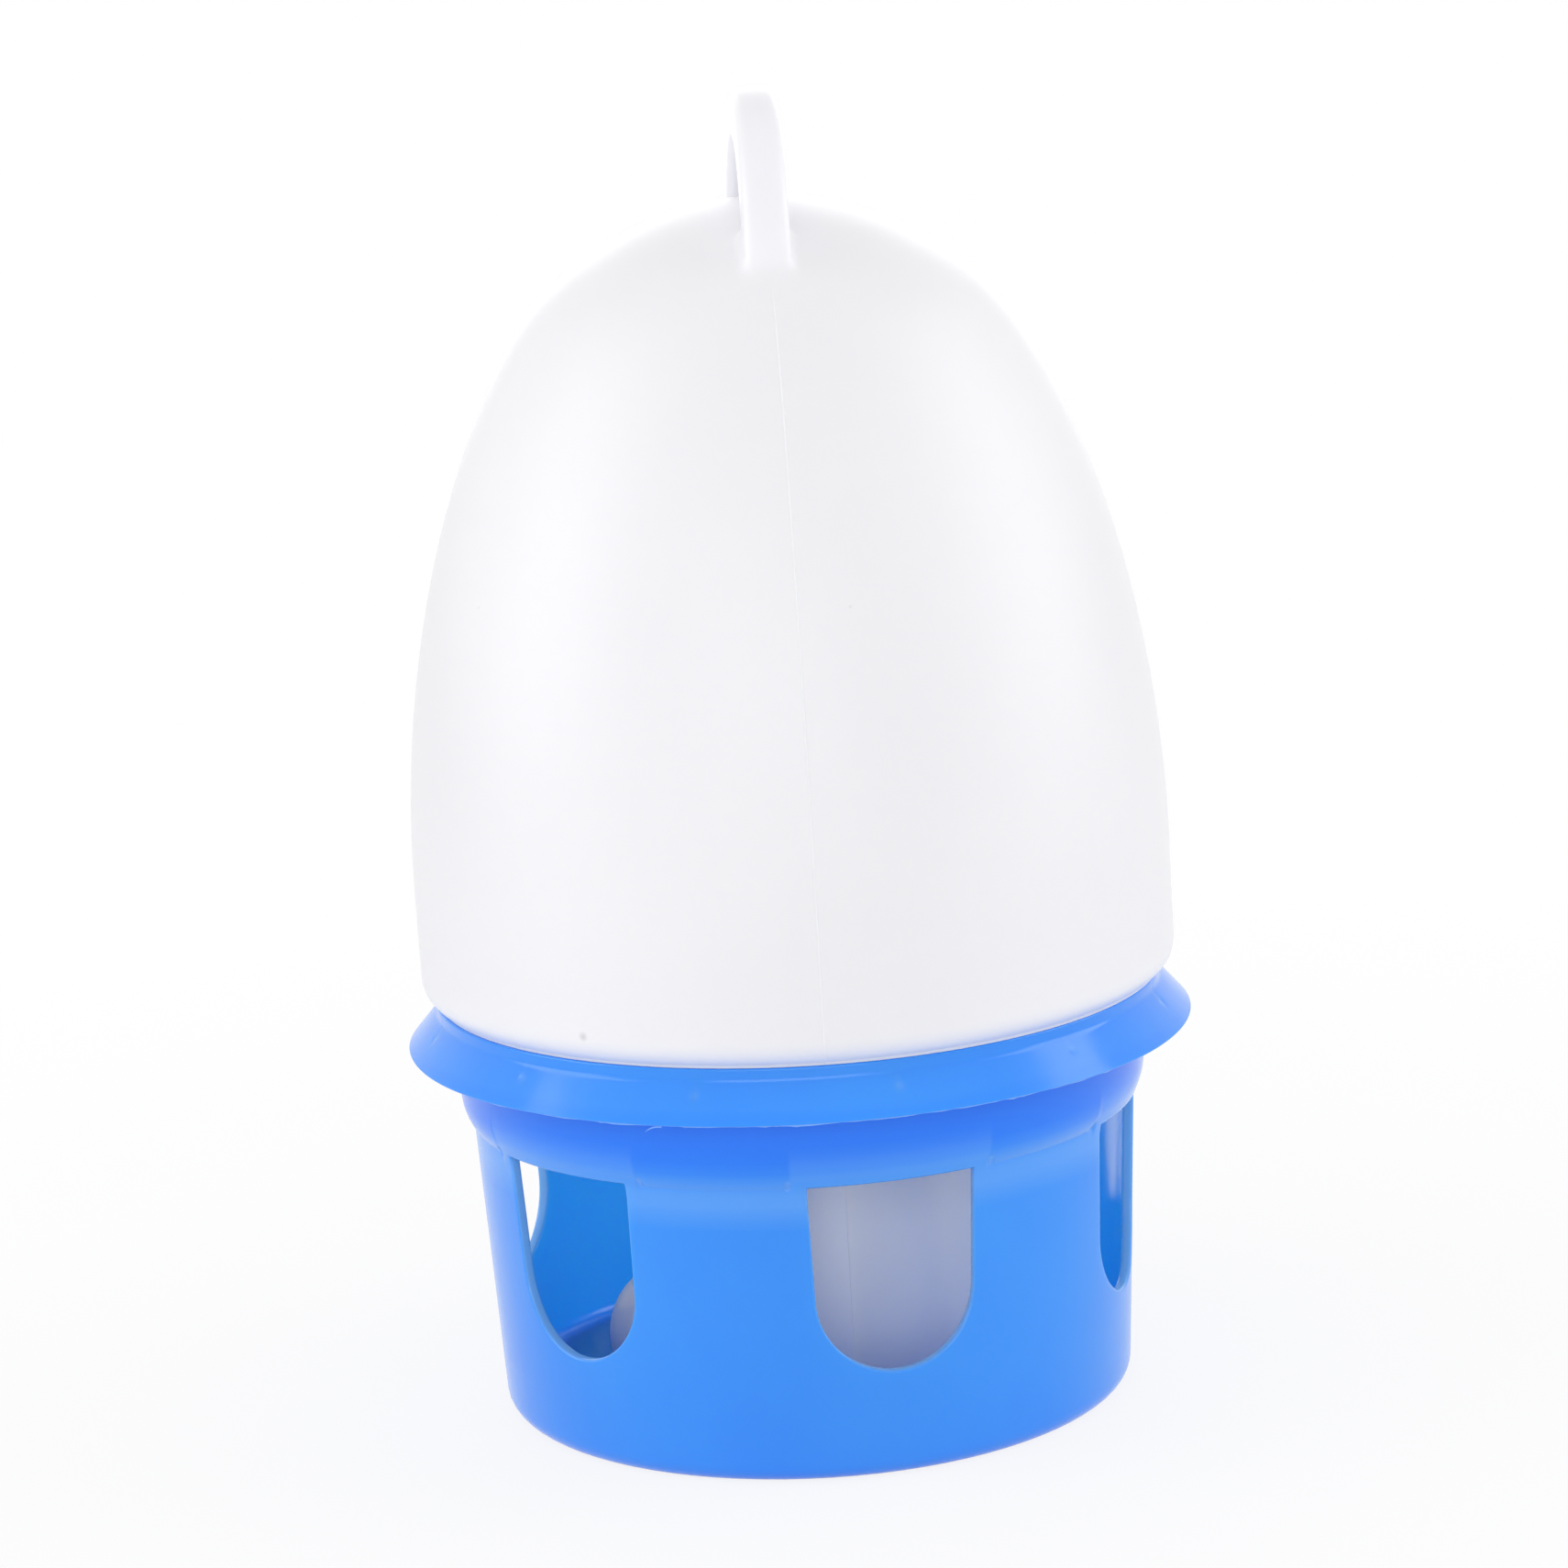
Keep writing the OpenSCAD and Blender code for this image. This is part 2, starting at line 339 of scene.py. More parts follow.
def milkyPolyethylene(tankRadiusAt, neckTop):
    material, tree, output = newMaterial("milky_polyethylene")
    place = addNode(tree, "ShaderNodeTexCoord").outputs["Object"]
    height = addNode(tree, "ShaderNodeSeparateXYZ", {0: place}).outputs["Z"]
    flow = addNoise(tree, place, milkyPlastic["flowGrain"], 3.0)
    ripple = addNoise(tree, place, milkyPlastic["ripple"][0], 1.0)
    satin = addNoise(tree, place, milkyPlastic["satin"][0], 3.0)
    colour = addColours(tree, flow, milkyPlastic["deep"], milkyPlastic["light"])
    # Painted light: a blue cast on the neck below the plug, for the light from the blue cup
    neckBlueLight = addRange(tree, height, 1.0, 0.0, neckTop - milkyPlastic["neckFade"], neckTop)
    colour = addMix(tree, neckBlueLight, colour, milkyPlastic["neck"])
    for angle, z, radius, dark in milkyPlastic["specks"]:
        middle = aroundPoint(tankRadiusAt(z), angle, z) * mm
        away = addNode(tree, "ShaderNodeVectorMath", {0: place, 1: middle}, operation="DISTANCE")
        share = addRange(tree, away.outputs["Value"], dark, 0.0, 0.0, radius * mm)
        colour = addMix(tree, share, colour, milkyPlastic["speckColour"])
    normal = addBump(tree, ripple, milkyPlastic["ripple"][1])
    normal = addBump(tree, satin, milkyPlastic["satin"][1], normal)
    addPlastic(tree, output, milkyPlastic, colour, flow, milkyPlastic["glow"], normal)
    return material


# Base: cup, collar and skirt in one moulding

cupHigh = nodeBox("drinking_cup")[1]
collarHigh = nodeBox("seat_collar")[1]
skirtLow, skirtHigh = nodeBox("rain_skirt")

base = {
    "topRadius": cupHigh.x,
    "stepZ": cupHigh.z,
    "collarRadius": collarHigh.x,
    "rimZ": collarHigh.z,
    "skirtRadius": skirtHigh.x,
    "skirtZ": skirtLow.z,
    "wall": 2.2,
    "floor": 2.4,
    "footRound": 4.2,
    "draft": 3.05,
    "collarRound": 11.2,
    "rimWidth": 3.8,
    "rimBand": 2.5,
    "skirtLip": 0.3,
    "webs": 12,
    "webThick": 1.2,
    "webInset": 2.0,
    "webRoot": 0.05,  # how far a web's ends reach into the walls
    "windows": 6,
    "windowTurn": 10.8,
    "windowTop": 33.4,
    "windowLow": 31.8,
    "windowSill": 22.1,
    "edgeRound": 0.55,  # rounding of a window's outer edge
    "innerEdgeRound": 0.4,
    "softReach": 2.4,  # how far the step is smoothed beside a window
    "innerSoftReach": 1.2,
    "markAngle": 17.4,  # dent at the corner of each window's mould insert, from its middle
    "markWide": 0.62,
    "markHigh": 1.2,
    "markDeep": 0.7,
    "markRise": 0.7,  # height of the dent's middle above the step
    "markSharp": (0.9, 0.1),  # the smoothing runs out between these angles before the dent
    "cellZ": 13.0,  # the wall is plain below this height
    "sinkZ": 81.9,  # sink marks over the webs
    "sinkWide": 0.95,
    "sinkHigh": 0.75,
    "sinkDeep": 0.26,
    "grooveWide": 0.6,  # and the grooves above them
    "grooveDeep": 0.05,
    "skirtInnerZ": 80.5,  # where the skirt's rows start on the collar
    "skirtStep": 0.45,  # longest step between the skirt's rows
    "flash": 0.32,  # ragged edge below the skirt
    "flashIn": 0.78,
    # angle and size of the larger burrs on that edge
    "burrs": ((-8.5, 0.5), (3.3, 0.6), (-14.0, 0.3), (27.0, 0.5), (31.0, 0.35)),
    "burrWide": 0.5,
    # heights of the rows: collar outside above the step, collar inside, wall below the windows
    "stepRises": (0.85, 1.2, 1.6, 2.1, 2.8, 3.7, 4.7, 5.8),
    "collarRows": (72.5, 75, 78),
    "boreRows": (81, 77, 73.5, 70.5, 68.8, 67.4, 66.2, 65.2, 64.4, 63.7, 63.0, 62.4, 61.9),
    "lowRows": (11, 9, 7, 5.4),
    "lowInnerRows": (11, 9, 7.2),
}

stepZ = base["stepZ"]
rimZ = base["rimZ"]
draftSlope = math.tan(math.radians(base["draft"]))
boreRadius = base["topRadius"] - base["wall"]
collarTurn = math.acos(1 - (base["collarRadius"] - base["topRadius"]) / base["collarRound"])
arcZ = stepZ + base["collarRound"] * math.sin(collarTurn)
arcMiddle = base["collarRadius"] - base["collarRound"]
rimR = base["collarRadius"] + base["rimWidth"]
bandZ = rimZ - base["rimBand"]
lipZ = base["skirtZ"] + base["skirtLip"]
skirtFall = (bandZ - lipZ) / (base["skirtRadius"] - rimR)
pitch = 360 / base["windows"]
webPitch = 360 / base["webs"]
windowEndZ = base["windowSill"] + base["windowLow"] / 2  # where a window's round end starts


# Radius of the cup at height z: a drafted wall, and above the step a rounding up to the collar
def cupOutline(z, wallRadius, arcRadius):
    if z < stepZ:
        return wallRadius - (stepZ - z) * draftSlope
    rise = min(arcZ, z)
    return max(wallRadius, arcMiddle + math.sqrt(max(0, arcRadius ** 2 - (arcZ - rise) ** 2)))


# An outline's mean over a stretch of height, which takes the edge off a step
def softened(outline, z, reach):
    weights = (1, 2, 3, 2, 1)
    total = sum(w * outline(z + reach * (i - 2) / 2) for i, w in enumerate(weights))
    return total / sum(weights)


# Outside of the wall at an angle from the nearest window's middle
def outerRadius(z, angle):
    sharp = cupOutline(z, base["topRadius"], base["collarRound"])
    soft = softened(lambda height: cupOutline(height, base["topRadius"], base["collarRound"]),
                    z, base["softReach"])
    early, late = base["markSharp"]
    share = smoothStep(base["markAngle"] - early, base["markAngle"] - late, abs(angle))
    across = 1 - abs(abs(angle) - base["markAngle"]) / base["markWide"]
    along = 1 - abs(z - stepZ - base["markRise"]) / base["markHigh"]
    dent = base["markDeep"] * max(0, across) * max(0, along)
    return mix(soft, sharp, share) - dent


def innerRadius(z, angle):
    return softened(lambda height: cupOutline(height, boreRadius,
                                              base["collarRound"] - base["wall"]),
                    z, base["innerSoftReach"])


# Points down one side of a window to its lowest point: x, z and the way off its edge
def windowSide():
    half = base["windowLow"] / 2
    drops = (0, 0.5, 1.0, 1.8, 2.8, 4.2, 6, 8.5, 11.5, 15, 19)
    side = []
    for drop in drops:
        z = stepZ - drop
        share = (z - windowEndZ) / (stepZ - windowEndZ)
        side.append((mix(half, base["windowTop"] / 2, share), z, 1, 0))
    for step in range(16):
        turn = math.radians(-6 * step)
        side.append((half * math.cos(turn), windowEndZ + half * math.sin(turn),
                     math.cos(turn), math.sin(turn)))
    return side


# The rectangle of wall that surrounds one window, matched point by point to its side
def cellSide(side):
    run = [0]
    for a, b in zip(side, side[1:]):
        run.append(run[-1] + math.hypot(a[0] - b[0], a[1] - b[1]))
    top = 4  # the first points keep their heights
    corner = next(i for i, s in enumerate(side) if s[2] <= math.cos(math.radians(47)))
    cell = []
    for i, length in enumerate(run):
        if i <= top:
            cell.append((pitch / 2, side[i][1]))
        elif i <= corner:
            share = (length - run[top]) / (run[corner] - run[top])
            cell.append((pitch / 2, mix(side[top][1], base["cellZ"], share)))
        else:
            share = (length - run[corner]) / (run[-1] - run[corner])
            cell.append((mix(pitch / 2, 0, share), base["cellZ"]))
    return cell, corner


def angleAt(x, z, radiusAt):
    return math.degrees(math.asin(x / radiusAt(z, 0)))


# Columns of the collar from the window's middle to the middle of the next pillar
def collarColumns(ringStart):
    inside = [0, 0.35, 0.7, 1.1, 1.6, 2.4, 3.6, 5.2, 7, 8.8, 10.6, 12.2, 13.4]
    mark = base["markAngle"]
    rings = [ringStart, ringStart + 0.5, mark - 1.4, mark - 0.9, mark - 0.6, mark - 0.3, mark,
             mark + 0.3, mark + 0.6, mark + 1.0, 19.4, 20.8, 22.4, 24, 25.6, 27.2, 28.4, 28.9,
             29.3, 29.65, pitch / 2]
    return inside, rings


# Sink marks over the webs, with a groove above each: how far the skirt's surface is moved out
def skirtOffset(r, z, angle):
    if z <= base["skirtZ"] + 2 or r <= base["collarRadius"] + 3:
        return 0
    perDegree = 1.34  # length of one degree along the slope
    fromWeb = angle - base["windowTurn"]
    away = min(fromWeb % webPitch, webPitch - fromWeb % webPitch) * perDegree
    strength = 0.7 + 0.8 * noise.noise((round(fromWeb / webPitch) * 3.7, 0.3, 0.1))
    pit = math.exp(-(away / base["sinkWide"]) ** 2
                   - ((z - base["sinkZ"]) / base["sinkHigh"]) ** 2)
    groove = math.exp(-(away / base["grooveWide"]) ** 2) * smoothStep(base["sinkZ"], bandZ, z)
    return -strength * (base["sinkDeep"] * pit + base["grooveDeep"] * groove)


# How far the ragged edge hangs down
def flashDrop(angle):
    turn = math.radians(angle)
    place = Vector((math.cos(turn), math.sin(turn), 0))
    ragged = max(0, noise.noise(place * 9) + 0.15) + 0.6 * max(0, noise.noise(place * 60))
    for middle, size in base["burrs"]:
        away = (angle - middle + 180) % 360 - 180
        ragged += size * math.exp(-(away / base["burrWide"]) ** 2)
    return base["flash"] * (0.25 + ragged)


# How far out the skirt's slope lies at height z, at a depth in its wall
def slopeX(depth, z):
    return rimR - depth / math.sin(math.atan(skirtFall)) + (bandZ - z) / skirtFall


# Outline of skirt and rim, from the collar's outer side round to its inner side
def skirtPath():
    wall = base["wall"]
    bore = base["collarRadius"] - wall
    lowZ = base["skirtZ"]
    edgeR = base["skirtRadius"]
    path = roundCorners([
        (base["collarRadius"], base["skirtInnerZ"], 0),
        (base["collarRadius"], rimZ - wall, 0.3),
        (slopeX(wall, rimZ - wall), rimZ - wall, 0.3),
        (slopeX(wall, lowZ), lowZ, 0.5),
        (edgeR - 0.95, lowZ, 0),
        (edgeR - base["flashIn"], lowZ, 0),
        (edgeR - 0.6, lowZ + 0.06, 0),
        (edgeR - 0.1, lowZ + 0.12, 0.08)], 4)
    path += roundCorners([
        (edgeR, lipZ, 0),
        (rimR, bandZ, 1.6),
        (rimR, rimZ, 0.35),
        (bore, rimZ, 0.6),
        (bore, rimZ - 3, 0)], 5)
    return path


halfTop = base["windowTop"] / 2
topEdgeZ = stepZ + base["edgeRound"]
edges = {"outer": (base["edgeRound"], outerRadius),
         "inner": (base["innerEdgeRound"], innerRadius)}
corners = {name: angleAt(halfTop + edge, stepZ + edge, radiusAt)
           for name, (edge, radiusAt) in edges.items()}


# The inner side's columns sit a little further round, beside the same straight-cut window
def innerAngle(angle):
    size = abs(angle)
    if size <= corners["outer"]:
        turned = size * corners["inner"] / corners["outer"]
    else:
        share = (size - corners["outer"]) / (pitch / 2 - corners["outer"])
        turned = mix(corners["inner"], pitch / 2, share)
    return math.copysign(turned, angle)


# A point of the wall; turn is the direction of the window's middle
def wallPoint(radiusAt, z, angle, turn):
    return aroundPoint(radiusAt(z, angle), turn + angle, z)


# Collar outside, skirt, rim and collar inside, over one window and half a pillar on each side
def addCollar(bm, turn, columns):
    outerHeights = [topEdgeZ] + [stepZ + rise for rise in base["stepRises"]]
    outerHeights += [arcZ, arcZ + 2, *base["collarRows"]]
    innerHeights = [*base["boreRows"], stepZ + base["innerEdgeRound"]]
    flashR = base["skirtRadius"] - base["flashIn"]
    rows = [[wallPoint(outerRadius, z, a, turn) for a in columns] for z in outerHeights]
    for r, z in fillSteps(skirtPath(), base["skirtStep"]):
        hangs = abs(r - flashR) < 0.01 and z < base["skirtZ"] + 0.1
        rows.append([aroundPoint(r + skirtOffset(r, z, turn + a), turn + a,
                                 z - (flashDrop(turn + a) if hangs else 0))
                     for a in columns])
    rows += [[wallPoint(innerRadius, z, innerAngle(a), turn) for a in columns]
             for z in innerHeights]
    addGrid(bm, rows)


# Wall on both sides of one window, outside and inside
def addWindowWall(bm, turn, side, cell, rings):
    for name, (edge, radiusAt) in edges.items():
        for sign in (1, -1):
            rows = [[wallPoint(radiusAt, stepZ + edge,
                               (a if name == "outer" else innerAngle(a)) * sign, turn)
                     for a in rings]]
            for (x, z, nx, nz), (cellAngle, cellZ) in zip(side, cell):
                ringZ = z + edge * nz
                ringAngle = angleAt(x + edge * nx, ringZ, radiusAt)
                shares = [(ring - rings[0]) / (rings[-1] - rings[0]) for ring in rings]
                rows.append([wallPoint(radiusAt, mix(ringZ, cellZ, share),
                                       mix(ringAngle, cellAngle, share) * sign, turn)
                             for share in shares])
            addGrid(bm, rows)


# The cut edge of one window: rounding, flat, rounding
def addWindowEdge(bm, turn, side, topColumns):
    outline = [(halfTop, stepZ, 1, 1)] + side
    outline += [(-x, z, -nx, nz) for x, z, nx, nz in reversed(side[:-1])]
    outline += [(-halfTop, stepZ, -1, 1)]
    for a in topColumns:
        outline.append((outerRadius(topEdgeZ, a) * math.sin(math.radians(a)), stepZ, 0, 1))
    arcs = [i * 22.5 for i in range(5)]
    lines = []
    for name, degrees in [("outer", d) for d in arcs] + [("inner", d) for d in reversed(arcs)]:
        edge, radiusAt = edges[name]
        out = edge * (1 - math.sin(math.radians(degrees)))
        deep = edge * (1 - math.cos(math.radians(degrees)))
        line = []
        for x, z, nx, nz in outline:
            px, pz = x + out * nx, z + out * nz
            if name == "inner" and nz == 1 and nx == 0:
                a = innerAngle(math.degrees(math.asin(x / outerRadius(topEdgeZ, 0))))
                px = innerRadius(stepZ + edge, a) * math.sin(math.radians(a))
            reach = radiusAt(pz, angleAt(px, pz, radiusAt))
            y = -math.sqrt(reach ** 2 - px ** 2) + (deep if name == "outer" else -deep)
            line.append(Matrix.Rotation(math.radians(turn), 3, "Z") @ Vector((px, y, pz)))
        lines.append(line)
    addGrid(bm, lines, closed=True)


# Plain wall below one window, foot and floor
def addFoot(bm, turn, lowAngles):
    angles = lowAngles + [-a for a in reversed(lowAngles[:-1])]
    for heights, radiusAt, path in ((base["lowRows"], outerRadius, footPath()),
                                    (base["lowInnerRows"], innerRadius, floorPath())):
        rows = [[wallPoint(radiusAt, z, a, turn) for a in angles]
                for z in (base["cellZ"], *heights)]
        rows += [[aroundPoint(r, turn + a, z) for a in angles] for r, z in path]
        addGrid(bm, rows)


def buildBase():
    bm = bmesh.new()
    side = windowSide()
    cell, corner = cellSide(side)
    inside, rings = collarColumns(corners["outer"])
    topColumns = [-a for a in reversed(inside[1:])] + inside
    columns = [-a for a in reversed(rings)] + topColumns + rings
    for sector in range(base["windows"]):
        turn = base["windowTurn"] + sector * pitch
        addCollar(bm, turn, columns)
        addWindowWall(bm, turn, side, cell, rings)
        addWindowEdge(bm, turn, side, topColumns)
        addFoot(bm, turn, [angle for angle, _ in cell[corner:]])
    addWebs(bm)
    addCurl(bm)
    return finishMesh(bm, "moulded_base", 32)


# Outline of the rounded foot and the underside, with the moulding's gate mark in its middle
def footPath():
    radius = base["footRound"]
    lean = math.radians(base["draft"])
    footR = base["topRadius"] - stepZ * draftSlope
    centre = Vector((footR + radius * (math.tan(lean) - 1 / math.cos(lean)), radius))
    points = []
    for step in range(9):
        turn = mix(-lean, -math.pi / 2, step / 8)
        points.append(centre + radius * Vector((math.cos(turn), math.sin(turn))))
    return points + [Vector((r, 0)) for r in (52, 42, 32, 22, 13, 7)] + [
        Vector(p) for p in ((5.2, 0), (4.8, 0.35), (2.6, 0.45), (1.6, 0.45), (1.3, 0.1), (0, 0.1))]


# Outline of the cup's floor inside
def floorPath():
    radius = base["footRound"] - base["wall"] / 2
    lean = math.radians(base["draft"])
    footR = boreRadius - stepZ * draftSlope
    centre = Vector((footR + (base["floor"] + radius) * math.tan(lean) - radius / math.cos(lean),
                     base["floor"] + radius))
    points = []
    for step in range(7):
        turn = mix(-lean, -math.pi / 2, step / 6)
        points.append(centre + radius * Vector((math.cos(turn), math.sin(turn))))
    return points + [Vector((r, base["floor"])) for r in (50, 40, 30, 20, 10, 4, 0)]


def addWebs(bm):
    rootR = base["collarRadius"] - base["webRoot"]
    reach = base["wall"] - base["webRoot"]
    lowZ = base["skirtZ"] + base["webInset"]
    highZ = rimZ - reach
    outline = [(rootR, highZ), (slopeX(reach, highZ), highZ), (slopeX(reach, lowZ), lowZ),
               (rootR, lowZ)]
    for number in range(base["webs"]):
        spin = Matrix.Rotation(math.radians(base["windowTurn"] + number * webPitch), 3, "Z")
        rings = [[spin @ Vector((x, -r, z)) for r, z in outline]
                 for x in (-base["webThick"] / 2, base["webThick"] / 2)]
        made = addGrid(bm, rings, closed=True)
        for ring in made:
            bm.faces.new(ring)


# A hair of plastic that curls off the skirt's edge
def addCurl(bm):
    count, sides = 14, 6
    rows = []
    for i in range(count):
        share = i / (count - 1)
        angle = mix(-23.2, -25.6, share ** 0.9)
        z = base["skirtZ"] - 0.1 - 1.35 * share + 0.5 * math.sin(share * 2.6)
        middle = aroundPoint(base["skirtRadius"] - 0.35 + 0.3 * share, angle, z)
        radius = 0.17 * (1 - share) ** 0.6 + 0.03
        rows.append([middle + Vector((0, radius * math.cos(t), radius * math.sin(t)))
                     for t in (2 * math.pi * k / sides for k in range(sides))])
    made = addGrid(bm, rows, closed=True)
    bm.faces.new(made[0])
    bm.faces.new(made[-1])


# How deep in the base's wall a point lies, from 0 on the outer side to 1 on the inner side
def wallDepth(point):
    r, z = math.hypot(point.x, point.y), point.z
    if r > base["collarRadius"] + 0.3:
        inward = (slopeX(0, z) - r) * math.sin(math.atan(skirtFall))
        if z > bandZ:
            inward = min(inward, rimR - r)
        deep = min(inward, rimZ - z) / base["wall"]
    elif z < base["floor"] - 0.1:
        deep = 0
    else:
        outer = cupOutline(z, base["topRadius"], base["collarRound"])
        inner = cupOutline(z, boreRadius, base["collarRound"] - base["wall"])
        deep = (outer - r) / (outer - inner)
        if z < base["cellZ"]:
            deep = 1 if deep > 0.8 else 0
    return min(1, max(0, deep))


def addWallDepth(piece):
    layer = piece.data.attributes.new("wallDepth", "FLOAT", "POINT")
    for vert in piece.data.vertices:
        layer.data[vert.index].value = wallDepth(vert.co / mm)


basePiece = buildBase()
addWallDepth(basePiece)
basePiece.data.materials.append(bluePolypropylene(stepZ * mm, lipZ * mm))
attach(basePiece, "base")
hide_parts("drinking_cup", "seat_collar", "rain_skirt")
print("base moulded:", len(basePiece.data.vertices), "points")


# Tank: shell, neck and carrying loop in one blow moulding

shellLow, shellHigh = nodeBox("tank_shell")
neckLow, neckHigh = nodeBox("tank_neck")
loopHigh = nodeBox("carry_handle")[1]

tank = {
    "radius": shellHigh.x,
    "crownZ": shellHigh.z,
    "plugZ": shellLow.z,
    "mouthZ": neckLow.z,
    "wall": 1.6,
    "heelRound": 5.5,
    "heelTurn": 62.0,  # the rounding stops at this angle, in a small bead on the rim
    "wallRise": 25.3,
    "shoulderIn": 29.9,
    "shoulderDrop": 21.5,
    "shoulderLean": 37.3,
    "flankPull": 55.0,
    "shoulderPull": 19.9,
    "browPull": 13.1,
    "crownPull": 21.7,
    "plugGap": 0.4,
    "plugRound": 4.0,
    "neckRadius": 36.0,
    "neckFlare": 4.0,
    "ribHigh": 2.0,
    "ribAngle": 7.7,  # middle of the rib's side, from the seam
    "ribSide": 0.35,  # and how far that side reaches to both sides
    "lugRadius": 14.8,
    "lugRise": 4.6,
    "lugReach": neckHigh.x,
    "lugBlend": 1.2,
    "notchTurn": -45.0,  # one air notch is here and one opposite
    "notchHalf": 6.0,
    "notchHigh": 9.0,
    "notchFade": 32.0,  # height at which the neck's rows are level again
    # heights of the rows, closer together at the lugs and notches
    "neckRows": (62, 58, 54, 50, 46, 42, 38, 34, 29, 27.6, 26.2, 24.8, 23.4, 22, 20.6, 19.2,
                 17.8, 16.4, 15, 13.6, 12.2, 10.8, 9.6),
    "boreRows": (10.8, 12.2, 13.6, 15, 16.4, 17.8, 19.2, 20.6, 22, 23.4, 24.8, 26.2, 28, 32,
                 40, 50, 60),
    "seamHigh": 0.11,
    "seamHalf": 0.14,  # as an angle
    "unevenness": 0.22,
    "unevenGrain": 46.0,
    "angleStep": 2.0,  # between the tank's columns, where nothing needs closer ones
    "lift": 0.02,  # the tank doesn't sit quite down on the rim
    "plugShift": 0.2,
    "sway": (0.35, -0.66, 0.73, -0.14),  # how its middle runs sideways with height, per 100 mm
}

heelMiddle = Vector((tank["radius"] - tank["heelRound"], rimZ + tank["heelRound"]))
lean = math.radians(tank["shoulderLean"])
shoulder = Vector((tank["radius"] - tank["shoulderIn"], tank["crownZ"] - tank["shoulderDrop"]))
shoulderWay = Vector((-math.sin(lean), math.cos(lean)))
wallTop = rimZ + tank["wallRise"]
flank = [Vector((tank["radius"], wallTop)), Vector((tank["radius"], wallTop + tank["flankPull"])),
         shoulder - tank["shoulderPull"] * shoulderWay, shoulder]
crown = [shoulder, shoulder + tank["browPull"] * shoulderWay,
         Vector((tank["crownPull"], tank["crownZ"])), Vector((0, tank["crownZ"]))]


# A point of a curve with four control points, moved inward by depth
def curvePoint(c, t, depth):
    s = 1 - t
    point = s ** 3 * c[0] + 3 * s * s * t * c[1] + 3 * s * t * t * c[2] + t ** 3 * c[3]
    way = s * s * (c[1] - c[0]) + 2 * s * t * (c[2] - c[1]) + t * t * (c[3] - c[2])
    return point + depth * Vector((-way.y, way.x)).normalized()


# Outline from the crown down to the seat, at a depth in the wall
def tankSide(depth):
    points = [curvePoint(crown, 1 - i / 30, depth) for i in range(31)]
    points += [curvePoint(flank, 1 - i / 60, depth) for i in range(1, 61)]
    radius = tank["heelRound"] - depth
    last = 90 if depth else tank["heelTurn"]
    turns = [math.radians(last) * i / 14 for i in range(15)]
    return points + [heelMiddle + radius * Vector((math.cos(t), -math.sin(t))) for t in turns]


domeOutline = tankSide(0)[:91]


# Height of the dome at a distance from the axis, and its radius at a height
def domeHeight(r):
    for a, b in zip(domeOutline, domeOutline[1:]):
        if a.x <= r <= b.x:
            return mix(a.y, b.y, (r - a.x) / (b.x - a.x))
    return domeOutline[-1].y


def tankRadiusAt(z):
    for a, b in zip(domeOutline, domeOutline[1:]):
        if b.y <= z <= a.y:
            return mix(a.x, b.x, (a.y - z) / (a.y - b.y))
    return tank["radius"]


# Angles of the tank's columns, closer together at the seam, the rib's sides and the notches
def tankAngles():
    rib = [tank["ribAngle"] + tank["ribSide"] * share for share in (-2, -1, 0, 1, 2)]
    extra = []
    for middle in (0, 180):
        for away in [0, 0.07, 0.14, 0.26, 0.5, 1.0] + rib:
            extra += [middle + away, middle - away]
    notchAngle = math.degrees(math.asin(tank["notchHalf"] / tank["neckRadius"]))
    for middle in (tank["notchTurn"], tank["notchTurn"] + 180):
        for away in (-0.4, -0.1, 0.1, 0.4):
            extra += [middle + notchAngle + away, middle - notchAngle - away]
    extra = sorted(set(a % 360 for a in extra))
    plain = [a * tank["angleStep"] for a in range(round(360 / tank["angleStep"]))]
    keep = [a for a in plain if min(abs((a - b + 180) % 360 - 180) for b in extra) > 0.7]
    return sorted(keep + extra), notchAngle


# How far the lugs at the mouth stand out of the neck, on both sides
def lugRadius(angle, z, radius):
    middle = tank["lugReach"] - tank["lugRadius"]
    rise = z - tank["mouthZ"] - tank["lugRise"]
    turn = math.radians(angle - 90)
    across = middle * math.sin(turn)
    room = radius ** 2 - rise ** 2 - across ** 2
    if room <= 0:
        return 0
    return middle * abs(math.cos(turn)) + math.sqrt(room)


# The larger of two, with the corner between them rounded over reach
def softMax(a, b, reach):
    share = max(0, reach - abs(a - b)) / reach
    return max(a, b) + share * share * reach / 4


plugR = base["collarRadius"] - base["wall"] - tank["plugGap"]
neckBore = tank["neckRadius"] - tank["wall"]
tankColumns, notchAngle = tankAngles()


